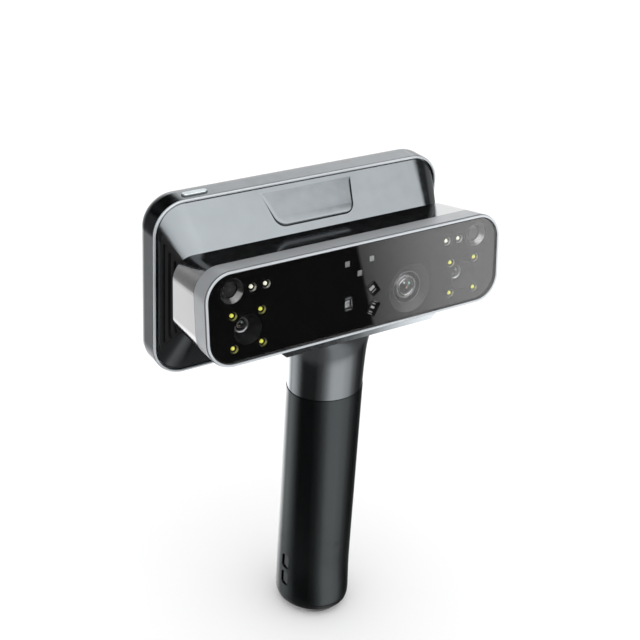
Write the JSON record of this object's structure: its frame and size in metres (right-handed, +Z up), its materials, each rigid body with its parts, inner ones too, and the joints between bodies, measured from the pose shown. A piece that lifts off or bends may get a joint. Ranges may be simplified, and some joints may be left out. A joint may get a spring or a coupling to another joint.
{
  "type": "handheld 3d scanner",
  "caption": "Handheld 3D scanner: wide sensor bar with stereo cameras and lamps in front of a rear touch display, on a straight oval pistol grip.",
  "frame": {"origin": "centre of the flat base face under the grip", "axes": "+Z up the grip, +Y out of the rear display, +X to the right of a person facing the sensors"},
  "size_m": [0.2018, 0.0914, 0.2886],
  "materials": {
    "gunmetal": "satin metallic grey paint",
    "bright_trim": "diamond cut bright edge",
    "bezel_black": "gloss black",
    "screen_glass": "dark cover glass",
    "panel": "unlit display",
    "inner_metal": "milled",
    "screw_steel": "zinc plated",
    "vent_black": "fine matte black",
    "button_metal": "bead blasted",
    "switch_black": "matte",
    "cover_rubber": "soft matte",
    "silver_frame": "satin grey paint",
    "gasket_rubber": "matte",
    "sensor_glass": "clear cover glass",
    "mask_print": "black printed layer",
    "silver_body": "satin silver paint",
    "barrel_black": "black anodised",
    "lens_glass": "coated glass",
    "board": "green solder mask",
    "cup_grey": "grey anodised",
    "ring_dark": "dark anodised",
    "led_white": "warm white lamp",
    "led_yellow": "yellow lamp",
    "laser_grey": "grey anodised",
    "neck_silver": "gloss metallic grey paint",
    "grip_black": "soft-touch coating",
    "cap_black": "black",
    "inner_plastic": "moulded black",
    "cell_wrap": "blue heat-shrink",
    "key_metal": "grey key caps"
  },
  "bodies": {
    "scanner": {"display_housing": "gunmetal", "housing_trim_ring": "bright_trim", "display_bezel": "bezel_black", "display_glass": "screen_glass", "display_panel": "panel", "display_carrier": "inner_metal", "inner_screws": "screw_steel", "hood_shell": "gunmetal", "left_vent_grille": "vent_black", "right_vent_grille": "vent_black", "badge_plate": "gunmetal", "power_switch": "switch_black", "usb_port": "screw_steel", "port_cover_pin": "screw_steel", "bar_front_frame": "silver_frame", "bar_trim_ring": "bright_trim", "glass_gasket": "gasket_rubber", "sensor_glass": "sensor_glass", "glass_mask": "mask_print", "bar_housing": "silver_body", "optical_bench": "inner_metal", "left_camera_barrel": "barrel_black", "right_camera_barrel": "barrel_black", "texture_camera_barrel": "barrel_black", "left_camera_lens": "lens_glass", "right_camera_lens": "lens_glass", "texture_camera_lens": "lens_glass", "sensor_boards": "board", "flood_light_cups": "cup_grey", "flood_light_lenses": "lens_glass", "led_rings": "ring_dark", "white_leds": "led_white", "marker_leds": "led_yellow", "led_boards": "board", "laser_modules": "laser_grey", "laser_lenses": "lens_glass", "proximity_sensor": "laser_grey", "neck_front_shell": "neck_silver", "neck_rear_shell": "neck_silver", "neck_bracket": "inner_metal", "grip_sleeve": "grip_black", "handle_core": "inner_metal", "lanyard_anchor": "vent_black", "grip_end_cap": "cap_black", "end_cap_screws": "screw_steel", "battery_holder": "inner_plastic", "battery_cells": "cell_wrap", "battery_contact_board": "board", "keypad_frame": "cap_black", "key_board": "board", "mainboard": "board", "heat_sink": "inner_metal", "fan_housing": "inner_plastic", "speaker": "inner_plastic"},
    "power_key": {"power_button": "button_metal"},
    "scan_key": {"scan_button": "key_metal"},
    "plus_body": {"plus_key": "key_metal"},
    "minus_body": {"minus_key": "key_metal"},
    "fan": {"fan_rotor": "inner_plastic"},
    "port_door": {"port_cover": "cover_rubber"}
  },
  "joints": [
    {"name": "power_press", "type": "slide", "parent": "scanner", "child": "power_key", "axis": [0, 0, -1], "range_m": [0, 0.0008], "stiffness_N_per_m": 1500, "springref_m": -0.0005},
    {"name": "scan_press", "type": "slide", "parent": "scanner", "child": "scan_key", "axis": [0, -1, 0], "range_m": [0, 0.0008], "stiffness_N_per_m": 1500, "springref_m": -0.0005},
    {"name": "plus_press", "type": "slide", "parent": "scanner", "child": "plus_body", "axis": [0, -1, 0], "range_m": [0, 0.0008], "stiffness_N_per_m": 1200, "springref_m": -0.0005},
    {"name": "minus_press", "type": "slide", "parent": "scanner", "child": "minus_body", "axis": [0, -1, 0], "range_m": [0, 0.0008], "stiffness_N_per_m": 1200, "springref_m": -0.0005},
    {"name": "fan_spin", "type": "hinge", "parent": "scanner", "child": "fan", "pos_m": [-0.062, 0.025, 0.238], "axis": [0, 1, 0], "continuous": true},
    {"name": "port_door_hinge", "type": "hinge", "parent": "scanner", "child": "port_door", "pos_m": [0.0984, 0.042, 0.2074], "axis": [0, 1, 0], "range_deg": [0, 100]}
  ]
}
